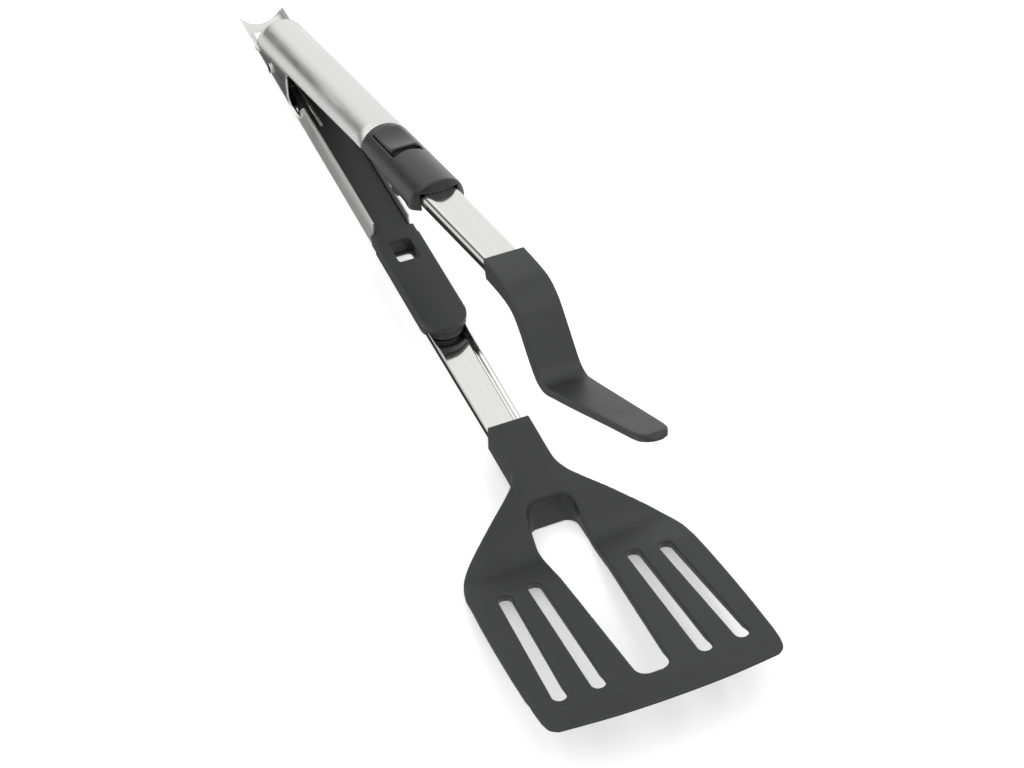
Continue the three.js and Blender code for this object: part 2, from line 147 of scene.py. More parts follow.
def surface_net(field, low, high, cell):
    """Quads on a field's zero surface: one vertex in each grid cell that it crosses."""
    axes = [np.arange(a, b + c, c) for a, b, c in zip(low, high, cell)]
    grid = np.meshgrid(*axes, indexing="ij", sparse=True)
    value = np.array(np.broadcast_to(field(*grid), [len(a) for a in axes]))
    inside = value < 0
    size = [n - 1 for n in value.shape]
    total = np.zeros([*size, 3])
    count = np.zeros(size, int)
    crossings = []
    for axis in range(3):
        others = [k for k in range(3) if k != axis]
        first = [slice(None)] * 3
        first[axis] = slice(0, -1)
        second = [slice(None)] * 3
        second[axis] = slice(1, None)
        start, end = value[tuple(first)], value[tuple(second)]
        crossed = inside[tuple(first)] != inside[tuple(second)]
        share = np.where(crossed, start / np.where(crossed, start - end, 1), 0)
        crossings.append(crossed)
        for corner in range(4):
            at = [slice(None)] * 3
            at[others[0]] = slice(corner & 1, (corner & 1) + size[others[0]])
            at[others[1]] = slice(corner >> 1, (corner >> 1) + size[others[1]])
            here = crossed[tuple(at)]
            count += here
            total[..., axis] += np.where(here, share[tuple(at)], 0)
            total[..., others[0]] += np.where(here, corner & 1, 0)
            total[..., others[1]] += np.where(here, corner >> 1, 0)
    used = count > 0
    index = np.full(size, -1)
    index[used] = np.arange(used.sum())
    places = np.argwhere(used) + total[used] / count[used][:, None]
    verts = places * np.array(cell) + np.array(low)
    faces = []
    for axis in range(3):
        b, c = (axis + 1) % 3, (axis + 2) % 3
        at = np.argwhere(crossings[axis])
        at = at[(at[:, b] > 0) & (at[:, b] < size[b]) & (at[:, c] > 0) & (at[:, c] < size[c])]
        ring = []
        for back_b, back_c in ((1, 1), (0, 1), (0, 0), (1, 0)):
            around = at.copy()
            around[:, b] -= back_b
            around[:, c] -= back_c
            ring.append(index[tuple(around.T)])
        quads = np.stack(ring, 1)
        outward = inside[tuple(at.T)]
        faces.append(np.where(outward[:, None], quads, quads[:, ::-1]))
    return settle(field, verts, min(cell)), np.concatenate(faces)


def settle(field, verts, cell):
    """Moves vertices onto the exact surface along the field's slope."""
    nudge = 0.02
    for _ in range(3):
        x, y, z = verts.T
        value = field(x, y, z)
        slope = np.stack([
            (field(x + nudge, y, z) - value) / nudge,
            (field(x, y + nudge, z) - value) / nudge,
            (field(x, y, z + nudge) - value) / nudge,
        ], 1)
        steep = np.maximum((slope**2).sum(1), 0.2)
        step = np.clip(value / steep, -cell / 2, cell / 2)
        verts = verts - slope * step[:, None]
    return verts


# ---------------------------------------------------------------- building and finishing pieces


def mesh_object(name, verts, faces, placing):
    mesh = bpy.data.meshes.new(name)
    mesh.from_pydata([tuple(v) for v in verts], [], [tuple(int(i) for i in f) for f in faces])
    mesh.transform(placing)
    mesh.update()
    piece = bpy.data.objects.new(name, mesh)
    bpy.context.scene.collection.objects.link(piece)
    return piece


def shade(piece, sharp_from=40):
    piece.data.shade_smooth()
    piece.data.set_sharp_from_angle(angle=math.radians(sharp_from))
    return piece


def modify(piece, kind, **settings):
    """Adds a modifier and applies it to the mesh."""
    modifier = piece.modifiers.new(kind.title(), kind)
    for key, value in settings.items():
        setattr(modifier, key, value)
    made = bpy.data.meshes.new_from_object(piece.evaluated_get(bpy.context.evaluated_depsgraph_get()))
    piece.modifiers.clear()
    piece.data = made
    return piece


def finish_piece(piece, body, nodes, material):
    piece.data.materials.clear()
    piece.data.materials.append(material)
    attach(piece, body)
    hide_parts(*nodes)
    return piece


def moulded(name, field, low, high, cell, placing):
    verts, faces = surface_net(field, low, high, cell)
    return shade(mesh_object(name, verts, faces, placing), 75)


def sheet_metal(name, rows, placing, thickness, window=(0, 0), edge=0.16):
    """A folded sheet from rows of points, thickened inwards, its cut edges broken.

    Between the two window distances the middle strip of the sheet is left open.
    """
    count = len(rows[0])
    opened = [window[0] <= row[0][0] < window[1] for row in rows]
    verts = [point for row in rows for point in row]
    faces = [
        (r * count + k, r * count + k + 1, (r + 1) * count + k + 1, (r + 1) * count + k)
        for r in range(len(rows) - 1)
        for k in range(count - 1)
        if not (opened[r] and k == count // 2 - 1)
    ]
    piece = mesh_object(name, verts, faces, placing)
    return thicken(piece, thickness, edge)


def thicken(piece, thickness, edge):
    modify(piece, "SOLIDIFY", thickness=thickness * MM, offset=-1)
    modify(piece, "BEVEL", width=edge * MM, segments=2, limit_method="ANGLE",
           angle_limit=math.radians(50), use_clamp_overlap=True)
    return shade(piece, 35)


# ---------------------------------------------------------------- material building blocks


class Nodes:
    """A node tree with short ways to add and link its nodes."""

    def __init__(self, name):
        self.material = bpy.data.materials.new(name)
        self.material.use_nodes = True
        self.tree = self.material.node_tree
        self.shader = self.tree.nodes["Principled BSDF"]

    def add(self, kind, inputs=None, **settings):
        node = self.tree.nodes.new(kind)
        for key, value in settings.items():
            setattr(node, key, value)
        for key, value in (inputs or {}).items():
            if isinstance(value, bpy.types.NodeSocket):
                self.tree.links.new(value, node.inputs[key])
            else:
                node.inputs[key].default_value = value
        return node

    def link(self, source, socket):
        self.tree.links.new(source, self.shader.inputs[socket])

    def set(self, **values):
        for key, value in values.items():
            self.shader.inputs[key.replace("_", " ")].default_value = value

    def places(self, turn, scale):
        """Object coordinates turned so that X runs along the piece, stretched by scale."""
        place = self.add("ShaderNodeTexCoord").outputs["Object"]
        turned = self.add("ShaderNodeMapping", {"Vector": place, "Rotation": (0, turn, 0)})
        return self.add("ShaderNodeMapping", {"Vector": turned.outputs[0], "Scale": scale}).outputs[0]

    def noise(self, vector, scale, detail=3, roughness=0.5):
        return self.add("ShaderNodeTexNoise", {
            "Vector": vector, "Scale": scale, "Detail": detail, "Roughness": roughness,
        }).outputs["Fac"]

    def spread(self, factor, low, high, from_low=0.3, from_high=0.7):
        return self.add("ShaderNodeMapRange", {
            "Value": factor, "From Min": from_low, "From Max": from_high,
            "To Min": low, "To Max": high,
        }).outputs["Result"]

    def blend(self, factor, low, high):
        mix = self.add("ShaderNodeMix", data_type="RGBA")
        self.tree.links.new(factor, mix.inputs["Factor"])
        mix.inputs["A"].default_value = (*low, 1)
        mix.inputs["B"].default_value = (*high, 1)
        return mix.outputs["Result"]

    def bump(self, height, strength, distance, under=None):
        inputs = {"Height": height, "Strength": strength, "Distance": distance}
        if under:
            inputs["Normal"] = under
        return self.add("ShaderNodeBump", inputs).outputs["Normal"]


def brushed_steel(name, turn, tone, grain, roughness):
    """Steel with fine grain along the piece, cloudy gloss and a few long hairlines."""
    n = Nodes(name)
    n.set(Metallic=1.0, Anisotropic=0.35)
    fine = n.noise(n.places(turn, (30, 2600, 2600)), 1.0, 2, 0.6)
    cloud = n.noise(n.places(turn, (25, 60, 60)), 1.0, 3)
    hairline = n.noise(n.places(turn, (9, 900, 900)), 1.0, 1, 0.4)
    low = [c * (1 - grain) for c in tone]
    n.link(n.blend(n.spread(fine, 0, 1), low, tone), "Base Color")
    rough = n.spread(cloud, roughness - 0.04, roughness + 0.05)
    more = n.add("ShaderNodeMath", operation="ADD")
    n.tree.links.new(rough, more.inputs[0])
    n.tree.links.new(n.spread(fine, -0.03, 0.05), more.inputs[1])
    n.link(more.outputs[0], "Roughness")
    lines = n.bump(n.spread(hairline, 0, 1, 0.62, 0.72), 0.1, 0.00002)
    n.link(n.bump(fine, 0.12, 0.00003, lines), "Normal")
    return n.material


def polished_steel(name, turn, tone, roughness):
    """Near mirror steel with rolling waves and light wiping marks."""
    n = Nodes(name)
    n.set(Metallic=1.0)
    wipe = n.noise(n.places(turn, (14, 700, 700)), 1.0, 2, 0.6)
    cloud = n.noise(n.places(turn, (35, 60, 60)), 1.0, 2)
    n.link(n.blend(n.spread(wipe, 0, 1), [c * 0.96 for c in tone], tone), "Base Color")
    n.link(n.spread(cloud, roughness, roughness + 0.05), "Roughness")
    n.link(n.bump(wipe, 0.05, 0.00002), "Normal")
    return n.material


def nylon(name, tone, roughness, grain):
    """Moulded nylon: fine spark-eroded grain, faint flow clouds."""
    n = Nodes(name)
    n.set(Specular_IOR_Level=0.5)
    place = n.places(0, (1, 1, 1))
    pores = n.noise(place, 2600, 2, 0.55)
    cloud = n.noise(place, 45, 3)
    dark = [c * 0.86 for c in tone]
    light = [c * 1.12 for c in tone]
    n.link(n.blend(n.spread(cloud, 0, 1), dark, light), "Base Color")
    rough = n.add("ShaderNodeMath", operation="ADD")
    n.tree.links.new(n.spread(cloud, roughness - 0.03, roughness + 0.04), rough.inputs[0])
    n.tree.links.new(n.spread(pores, -0.04, 0.04), rough.inputs[1])
    n.link(rough.outputs[0], "Roughness")
    n.link(n.bump(pores, grain, 0.00006), "Normal")
    return n.material


def simple_metal(name, tone, roughness):
    n = Nodes(name)
    n.set(Metallic=1.0)
    wear = n.noise(n.places(0, (1, 1, 1)), 900, 3)
    n.link(n.blend(n.spread(wear, 0, 1), [c * 0.88 for c in tone], tone), "Base Color")
    n.link(n.spread(wear, roughness - 0.05, roughness + 0.08), "Roughness")
    n.link(n.bump(wear, 0.1, 0.00003), "Normal")
    return n.material


TUBE_STEEL = brushed_steel("tube_steel", tube_turn, (0.82, 0.815, 0.81), 0.05, 0.24)
CHANNEL_STEEL = brushed_steel("channel_steel", arm_turn, (0.78, 0.78, 0.77), 0.06, 0.38)
BRIGHT_UPPER = polished_steel("bright_upper", tube_turn, (0.84, 0.84, 0.83), 0.09)
BRIGHT_LOWER = polished_steel("bright_lower", arm_turn, (0.86, 0.86, 0.85), 0.07)
BRIGHT = simple_metal("bright_steel", (0.80, 0.80, 0.79), 0.16)
SPRING = simple_metal("spring_steel", (0.60, 0.58, 0.55), 0.28)
NYLON = nylon("black_nylon", (0.018, 0.0185, 0.019), 0.44, 0.3)
GLOSS = nylon("black_gloss", (0.012, 0.012, 0.013), 0.27, 0.1)
WASHER = nylon("washer_nylon", (0.72, 0.70, 0.65), 0.45, 0.2)
BRONZE = simple_metal("bronze", (0.52, 0.33, 0.14), 0.35)

# ---------------------------------------------------------------- handle shell


def handle_shell():
    """One side as strips along the tube, then mirrored: vault, cheek, closed rear and hanging tail."""
    radius = TUBE_RADIUS
    sine, cosine = math.sin(OPEN_ANGLE), math.cos(OPEN_ANGLE)
    apex_rise, end_rise = 6.1, 7.8
    rise_at = lambda x: np.interp(x, [28.9, TUBE_END], [apex_rise, end_rise])
    apex_angle = math.acos((apex_rise - TUBE_RISE) / radius)
    apex_x = 28.9 * cosine - apex_rise * sine

    def on_tube(x, angle):
        """The point at arm-frame x on the tube's cylinder."""
        z = TUBE_RISE + radius * math.cos(angle)
        along = (x + z * sine) / cosine
        return Vector((x, radius * math.sin(angle), along * sine + z * cosine)), along

    def tube_point(along, angle):
        z = TUBE_RISE + radius * math.cos(angle)
        return Vector((along * cosine - z * sine, radius * math.sin(angle), along * sine + z * cosine))

    def on_rear(x, angle):
        return Vector((x, radius * math.sin(angle), REAR_DROP + radius * math.cos(angle)))

    def throat(z):
        """Front edge of the closed rear section at a height."""
        return float(np.interp(z, [-7.5, -6.6, -4.5, -2, 0, 11.5, 13.6],
                               [LIP_X, 28, 25.6, 24.4, THROAT_X, THROAT_X, apex_x]))

    mesh = bmesh.new()

    def strip(columns):
        grid = [[mesh.verts.new(point) for point in column] for column in columns]
        for left, right in zip(grid, grid[1:]):
            for k in range(len(left) - 1):
                mesh.faces.new((left[k], left[k + 1], right[k + 1], right[k]))
        return grid

    rear_rows = np.linspace(RIM_X, apex_x, 14)
    vault = []
    for share in np.linspace(0, 1, 25):
        column = [on_tube(x, share * apex_angle)[0] for x in rear_rows]
        start = on_tube(apex_x, share * apex_angle)[1]
        for t in np.linspace(0, 1, 15)[1:]:
            along = start + (TUBE_END - start) * t
            edge = math.acos((rise_at(along) - TUBE_RISE) / radius)
            column.append(tube_point(along, share * edge))
        vault.append(column)
    strip(vault)

    share = (rear_rows - RIM_X) / (apex_x - RIM_X)
    side = []
    for angle in np.linspace(apex_angle, math.pi / 2, 4):
        front = apex_x if angle == apex_angle else throat(13.6 - 2 * (angle - apex_angle) / 0.22)
        side.append([on_tube(RIM_X + (front - RIM_X) * s, angle)[0] for s in share])
    for step in np.linspace(0, 1, 9)[1:]:
        column = []
        top = on_tube(THROAT_X, math.pi / 2)[0].z
        front = throat(top + (REAR_DROP - top) * step)
        for s in share:
            x = RIM_X + (front - RIM_X) * s
            z = on_tube(x, math.pi / 2)[0].z
            column.append(Vector((x, radius, z + (REAR_DROP - z) * step)))
        side.append(column)
    tail_angle = math.pi / 2 + math.asin((REAR_DROP - TAIL_TOP) / radius)
    window_angle = math.pi - math.asin(7.6 / radius)
    tongue_angle = math.pi - math.asin(9.4 / radius)
    angles = [
        *np.linspace(math.pi / 2, tail_angle, 5)[1:],
        *np.linspace(tail_angle, tongue_angle, 4)[1:],
        *np.linspace(tongue_angle, window_angle, 4)[1:],
        *np.linspace(window_angle, math.pi, 9)[1:],
    ]
    for angle in angles:
        z = REAR_DROP + radius * math.cos(angle)
        front = throat(z) if angle <= tongue_angle else 20.5
        side.append([on_rear(RIM_X + (front - RIM_X) * s, angle) for s in share])
    strip(side)

    tail_rows = [*np.linspace(TAIL_X, -46.5, 4), *np.linspace(-45, -25.5, 8), -24, RIM_X]
    tail = []
    for angle in [a for a in [tail_angle, *angles] if a >= tail_angle - 1e-6][1:]:
        pull = 1.6 * math.exp(-(((angle - tail_angle) / 0.16) ** 2))
        column = []
        for x in tail_rows:
            pulled = x + pull * (1 - min((x - TAIL_X) / 5, 1))
            point = on_rear(pulled, angle)
            if abs(angle - window_angle) < 1e-6 and x in (tail_rows[3], tail_rows[-2]):
                point = on_rear(pulled, window_angle + 0.05)
            column.append(point)
        tail.append(column)
    strip(tail)
    bmesh.ops.remove_doubles(mesh, verts=mesh.verts, dist=0.02)
    hole = [
        face for face in mesh.faces
        if -46.5 < face.calc_center_median().x < -24.05
        and face.calc_center_median().y < 7.6 * 0.995
        and face.calc_center_median().z < -8
    ]
    bmesh.ops.delete(mesh, geom=hole, context="FACES")
    mirror = bmesh.ops.duplicate(mesh, geom=mesh.faces[:] + mesh.edges[:] + mesh.verts[:])["geom"]
    flipped = [item for item in mirror if isinstance(item, bmesh.types.BMVert)]
    for vert in flipped:
        vert.co.y *= -1
    bmesh.ops.reverse_faces(mesh, faces=[f for f in mirror if isinstance(f, bmesh.types.BMFace)])
    bmesh.ops.remove_doubles(mesh, verts=mesh.verts, dist=0.02)
    data = bpy.data.meshes.new("handle_shell_sheet")
    mesh.normal_update()
    outward = sum(f.normal.z * f.calc_area() for f in mesh.faces if f.calc_center_median().z > 10)
    if outward < 0:
        bmesh.ops.reverse_faces(mesh, faces=mesh.faces)
    mesh.to_mesh(data)
    mesh.free()
    data.transform(ARM)
    piece = bpy.data.objects.new("shell_looks", data)
    bpy.context.scene.collection.objects.link(piece)
    return thicken(piece, TUBE_WALL, 0.14)


finish_piece(handle_shell(), "handle", ["handle_shell"], TUBE_STEEL)

# ---------------------------------------------------------------- channels


def folded_channel(name, stations, half_at, rim_at, fold, placing, corner=2.0,
                   inner_at=lambda x: 3.0, window=(0, 0)):
    """A sheet folded to a U. fold is the web's height at a station, rim the free edges' height."""
    rows = []
    for x in stations:
        half, rim, web = half_at(x), rim_at(x), fold(x)
        toward = 1 if rim > web else -1
        arc = [
            (half - corner + corner * math.cos(a), web + toward * (corner - corner * math.sin(a)))
            for a in np.linspace(0, math.pi / 2, 7)
        ]
        half_row = [(half, rim), (half, (rim + arc[0][1]) / 2), *arc, (inner_at(x), web)]
        row = [(x, -y, z) for y, z in half_row] + [(x, y, z) for y, z in reversed(half_row)]
        rows.append(row if toward > 0 else row[::-1])
    return sheet_metal(name, rows, placing, SHEET, window)


def line(x0, y0, x1, y1):
    """The straight line through two points, as a function of x."""
    return lambda x: y0 + (y1 - y0) * (x - x0) / (x1 - x0)


def window_half(x):
    """Half width of the round-cornered window in the lower channel's web."""
    start, end = WINDOW_IN_WEB
    inset = max(start + WINDOW_CORNER - x, x - end + WINDOW_CORNER, 0)
    return WINDOW_STRAIGHT + math.sqrt(max(WINDOW_CORNER**2 - inset**2, 0))


def lower_channel():
    """The long channel, with a window in its web under the catch hole."""
    flange = lambda x: float(np.interp(
        x, [22.5, 36.5, 126.6, 126.75, 150], [-12.3, FLANGE_TOP, FLANGE_TOP, SHANK_TOP, SHANK_TOP]))
    stations = [
        22.5, 27, 32, 36.5, *np.linspace(40, 126.6, 12), 126.75, 131,
        135.8, 136.1, 136.7, 137.6, 145.2, 146.1, 146.7, 147, 150,
    ]
    return folded_channel("lower_channel_looks", stations, line(21.5, 8.95, 150, 8.75), flange,
                          lambda x: WEB_BOTTOM, ARM, inner_at=window_half, window=WINDOW_IN_WEB)


finish_piece(lower_channel(), "lower_arm", ["lower_channel"], CHANNEL_STEEL)
finish_piece(
    folded_channel("shank_looks", np.linspace(150.3, 283, 16), line(150.3, 9, 284, 7.8),
                   lambda x: SHANK_TOP, lambda x: WEB_BOTTOM, ARM),
    "lower_arm", ["turner_shank"], BRIGHT_LOWER)
finish_piece(
    folded_channel("upper_channel_looks", np.linspace(168, 287, 16), line(168, 8.3, 288, 7.6),
                   line(168, 5.5, 288, 5.1), line(168, 11, 288, 10.4), TUBE, corner=3.0),
    "handle", ["upper_channel"], BRIGHT_UPPER)

# ---------------------------------------------------------------- turner

TURNER_TOP = smooth([
    (259, -3.6), (284, -4.4), (292, -6.2), (300, -10.6), (308, -16.2), (314, -19.8),
    (319, -20.6), (326, -18.8), (336, -15.8),
], 32)
TURNER_FRONT = [(405.5, -3.63), (416.5, -2.6), (416.5, -4), (396, -7.4), (392, -9.3)]
TURNER_BOTTOM = smooth([
    (336, -20), (326, -23), (319, -24.5), (313, -24.2), (306, -21.5), (296, -18), (284, -16.4),
    (259, -16.2),
], 30)
TURNER_FLARE = smooth([
    (259, 9.3), (272, 9.3), (284, 9.5), (290, 11.8), (295, 17), (302, 26.5), (309, 35.8),
    (314, 41.4), (320, 45.4), (328, 47.6),
], 34)
TURNER_EDGE = [(345, 48.8), (361, 49.5), (378, 49.9), (400, 50)]
TURNER_CORNER = smooth([
    (406.5, 49.6), (410.5, 48.6), (412.6, 46.4), (413.5, 43), (415.4, 22), (416, 0),
], 16)[:-1]
TURNER_SIDE = TURNER_TOP + TURNER_FRONT + TURNER_BOTTOM
TURNER_HALF = TURNER_FLARE + TURNER_EDGE + TURNER_CORNER
TURNER_PLAN = TURNER_HALF + [(x, -y) for x, y in reversed(TURNER_HALF)]
CENTRAL_SLOT = [(307.5, -5.6), (307.5, 5.6), (316, 6.2), (396, 2.1), (396, -2.1), (316, -6.2)]
CENTRAL_SLOT_ROUND = 5.0
NARROW_SLOT_RADIUS = 2.9
TURNER_ROOT = [
    (284, -12), (286, -17), (291, -21), (298, -23.8), (313, -24.1), (316, -22.5), (310, -19),
    (300, -12.5), (290, -8.5),
]


def turner_field(x, y, z):
    """Cranked blade with four narrow slots and a wide one, whose rear wall leans back."""
    body = meet(outline_distance(TURNER_PLAN, x, y), outline_distance(TURNER_SIDE, x, z), 0.8)
    across = np.abs(y)
    root = meet(outline_distance(TURNER_ROOT, x, z), across - 14, 1.5)
    root = meet(root, outline_distance(TURNER_PLAN, x, y), 0.8)
    body = join(body, root, 1.0)
    outer = slot_distance((337.5, 34.9), (396.5, 38), NARROW_SLOT_RADIUS, x, across)
    inner = slot_distance((335.5, 21.5), (397, 22.2), NARROW_SLOT_RADIUS, x, across)
    draft = 3.6 * np.clip((z + 24) / 14, 0, 1) * np.clip((325 - x) / 15, 0, 1)
    central = outline_distance(CENTRAL_SLOT, x + draft, y) - CENTRAL_SLOT_ROUND
    for opening in (outer, inner, central):
        body = cut(body, opening, 0.6)
    return body


finish_piece(
    moulded("turner_looks", turner_field, (257, -52, -27), (418, 52, 0), (0.8, 0.8, 0.45), ARM),
    "lower_arm", ["turner_head"], NYLON)

# ---------------------------------------------------------------- gripping finger

FINGER_TOP = smooth([
    (272, 12.2), (285, 11.2), (296, 9.4), (304, 4.5), (309.5, -3), (315, -11.5), (319.5, -17.6),
    (324.5, -19.6), (331, -18.6), (350, -14), (380, -6.6), (409.5, 0.7),
], 60)
FINGER_BOTTOM = smooth([
    (411.5, -0.4), (410.5, -2.1), (380, -9.8), (350, -17.5), (333, -21.6), (323.5, -23.6),
    (316, -21.6), (310, -14.5), (304, -5.2), (298, 0.4), (288, 2.4), (272, 2.9),
], 60)
FINGER_SIDE = FINGER_TOP + FINGER_BOTTOM
FINGER_HALF = [(272, 8.7), (296, 9), (322, 8.9), (367, 7.4), (402, 6.2), (406.5, 5.7), (410, 4), (412, 1.4)]
FINGER_PLAN = FINGER_HALF + [(x, -y) for x, y in reversed(FINGER_HALF)]


def finger_field(x, y, z):
    return meet(outline_distance(FINGER_PLAN, x, y), outline_distance(FINGER_SIDE, x, z), 0.8)


finish_piece(
    moulded("finger_looks", finger_field, (270, -11, -26), (414, 11, 15), (0.7, 0.6, 0.5), TUBE),
    "handle", ["gripper_finger"], NYLON)

# ---------------------------------------------------------------- lower arm liner with its catch pad

LINER_TOP = -4.1
LINER_BOTTOM = -13.4
TROUGH_HALF = 7.6
EAR_RADIUS = 6.2
EAR_INNER = 5.8
PAD_TOP = -4.0
PAD_HALF = 10.7
PAD_FROM = 127.0
PAD_STRAIGHT = 186.5
PAD_GROOVE = (-7.7, -7.2)
HOLE_FROM, HOLE_TO, HOLE_HALF = 135.5, 149.5, 5.0
CAVITY_FROM, CAVITY_TO, CAVITY_HALF = 134.0, 156.5, 6.6


def pad_plan(x, y, half, rear, straight):
    """A strip with a half-round front end."""
    ahead = np.maximum(x - straight, 0)
    return np.maximum(np.sqrt(ahead**2 + y**2) - half, rear - x)


def trough_field(x, y, z):
    """The long cover in the channel, with its two hinge ears."""
    across = np.abs(y)
    side = outline_distance([
        (12, LINER_TOP), (129, LINER_TOP), (129, LINER_BOTTOM), (25, LINER_BOTTOM), (21, -9.4), (10, -8.4),
    ], x, z)
    trough = meet(side, across - TROUGH_HALF, 0.7)
    from_pin = np.sqrt(x**2 + z**2)
    ear = meet(from_pin - EAR_RADIUS, across - TROUGH_HALF, 0.5)
    arm = meet(span(x, -2, 13), span(z, -9, -3.2), 0.5)
    trough = join(trough, join(ear, meet(arm, across - TROUGH_HALF, 0.5), 0.5), 0.5)
    trough = cut(trough, np.maximum(across - EAR_INNER, x - 12.2), 0.4)
    return cut(trough, from_pin - 3.5, 0.3)


def pad_field(x, y, z):
    """The catch pad: a crowned cover, a groove, a base slotted for the flanges, and a block below."""
    across = np.abs(y)
    crown = PAD_TOP - 0.0025 * y**2
    half = PAD_HALF - 0.5 * np.clip((133.4 - x) / 1.0, 0, 1)
    cover = meet(pad_plan(x, y, half, PAD_FROM, PAD_STRAIGHT), span(z, PAD_GROOVE[1], crown), 0.7)
    base = meet(pad_plan(x, y, half - 0.35, PAD_FROM, PAD_STRAIGHT), span(z, -11.3, PAD_GROOVE[0]), 0.5)
    flange_slot = np.maximum(span(across, TROUGH_HALF, 9.3), z + 8.7)
    base = cut(base, flange_slot, 0.15)
    waist = meet(pad_plan(x, y, half - 0.8, PAD_FROM, PAD_STRAIGHT), span(z, -8, -7), 0.1)
    block = meet(pad_plan(x, y, TROUGH_HALF, PAD_FROM, 187.5), span(z, LINER_BOTTOM, -8), 0.4)
    return np.minimum(np.minimum(cover, base), np.minimum(waist, block))


def liner_field(x, y, z):
    across = np.abs(y)
    whole = np.minimum(trough_field(x, y, z), pad_field(x, y, z))
    hole = meet(span(x, HOLE_FROM, HOLE_TO), across - HOLE_HALF, 1.4)
    whole = cut(whole, np.maximum(hole, -14 - z), 0.4)
    cavity = meet(span(x, CAVITY_FROM, CAVITY_TO), across - CAVITY_HALF, 0.5)
    return cut(whole, np.maximum(cavity, z + 6.9), 0.3)


finish_piece(
    moulded("liner_looks", liner_field, (-8, -12, -15), (199, 12, 8), (0.6, 0.5, 0.5), ARM),
    "lower_arm", ["arm_liner"], NYLON)

# ---------------------------------------------------------------- lock cap, button and hook

CAP_END = 203.0
NOSE_RADIUS = 14.5
WINDOW_FROM, WINDOW_TO, WINDOW_HALF = 137.6, 165.6, 6.8
BUTTON_FROM, BUTTON_TO = 137.9, 161.2
DISH_MIDDLE = 149.75
CAP_SIDE = [
    (133.6, 40), (133.6, 7.8), (171, 5.5), (190, 4.6), (194.5, 3.4), (208, 3.2), (208, 40),
]


def tube_distance(y, z, radius):
    return np.sqrt(y**2 + (z - TUBE_RISE) ** 2) - radius


def cap_field(x, y, z):
    """A tube with a nose rounded in plan, hollow over the channel and open for the button."""
    across = np.abs(y)
    nose = np.sqrt(np.maximum(x - CAP_END + NOSE_RADIUS, 0) ** 2 + y**2) - NOSE_RADIUS
    body = meet(tube_distance(y, z, TUBE_RADIUS), nose, 0.9)
    body = meet(body, outline_distance(CAP_SIDE, x, z), 0.45)
    body = cut(body, np.maximum(np.maximum(across - 8.6, z - 11.6), x - 167.6), 0.4)
    slope = 0.005 * (x - 168)
    channel = np.maximum(across - 8.38 + slope, z - 11.06 + slope)
    body = cut(body, np.maximum(channel, 166 - x), 0.12)
    window = meet(span(x, WINDOW_FROM, WINDOW_TO), across - WINDOW_HALF, 1.0)
    return cut(body, window, 0.35)


def button_field(x, y, z):
    """A thumb button with a dished top, on a wider plate."""
    across = np.abs(y)
    plan = meet(span(x, BUTTON_FROM, BUTTON_TO), across - 6.3, 1.0)
    top = tube_distance(y, z, TUBE_RADIUS + 0.9)
    body = meet(meet(plan, top, 0.7), 10.5 - z, 0.2)
    middle = DISH_MIDDLE
    dish = np.sqrt((x - middle) ** 2 + (z - TUBE_RISE - TUBE_RADIUS - 59) ** 2) - 60
    body = cut(body, dish, 0.6)
    plate = meet(meet(span(x, 136.4, 163.2), across - 8.2, 0.4), span(z, 9.5, 11.2), 0.3)
    return np.minimum(body, plate)


HOOK_SIDE = [
    (139, 9.2), (139, 7.2), (140.2, 7.2), (140.2, -4), (138.8, -7), (138.8, -12.2), (140, -13.4),
    (145.6, -13.4), (146.6, -12.4), (146.6, -9.2), (144.8, -9.2), (144.8, 7.2), (146, 7.2), (146, 9.2),
]


def hook_field(x, y, z):
    """The hook's stem and toe, and the flat flange above them."""
    across = np.abs(y)
    stem = meet(outline_distance(HOOK_SIDE, x, z), across - 2.4, 0.5)
    flange_plate = meet(meet(span(x, 139, 155), across - 4.5, 0.5), span(z, 7.4, 9.2), 0.3)
    return np.minimum(stem, flange_plate)


finish_piece(
    moulded("cap_looks", cap_field, (132, -14, 1), (205, 14, 18), (0.6, 0.5, 0.5), TUBE),
    "handle", ["lock_cap"], GLOSS)
finish_piece(
    moulded("button_looks", button_field, (134, -10, 8), (165, 10, 19), (0.4, 0.4, 0.35), TUBE),
    "lock", ["slide_button"], GLOSS)
finish_piece(
    moulded("hook_looks", hook_field, (137, -6, -15), (157, 6, 11), (0.45, 0.4, 0.45), TUBE),
    "lock", ["latch_hook"], NYLON)

# ---------------------------------------------------------------- springs

WIRE_RADIUS = 0.8
COIL_RADIUS = 3.9
LEG_SIDE = -4.1


def wire(name, points, placing):
    """A round wire along a smooth path."""
    curve = bpy.data.curves.new(name, "CURVE")
    curve.dimensions = "3D"
    curve.bevel_depth = WIRE_RADIUS * MM
    curve.bevel_resolution = 4
    curve.use_fill_caps = True
    spline = curve.splines.new("NURBS")
    spline.points.add(len(points) - 1)
    for place, point in zip(spline.points, points):
        place.co = (*(placing @ Vector(point)), 1)
    spline.use_endpoint_u = True
    spline.order_u = 4
    spline.resolution_u = 4
    source = bpy.data.objects.new(name + "_path", curve)
    bpy.context.scene.collection.objects.link(source)
    mesh = bpy.data.meshes.new_from_object(source.evaluated_get(bpy.context.evaluated_depsgraph_get()))
    bpy.data.objects.remove(source)
    piece = bpy.data.objects.new(name, mesh)
    bpy.context.scene.collection.objects.link(piece)
    return shade(piece)


def coil_points(turns, start_angle, from_y, to_y, per_turn=12):
    steps = round(turns * per_turn)
    return [
        (COIL_RADIUS * math.cos(start_angle + 2 * math.pi * i / per_turn),
         from_y + (to_y - from_y) * i / steps,
         COIL_RADIUS * math.sin(start_angle + 2 * math.pi * i / per_turn))
        for i in range(steps + 1)
    ]


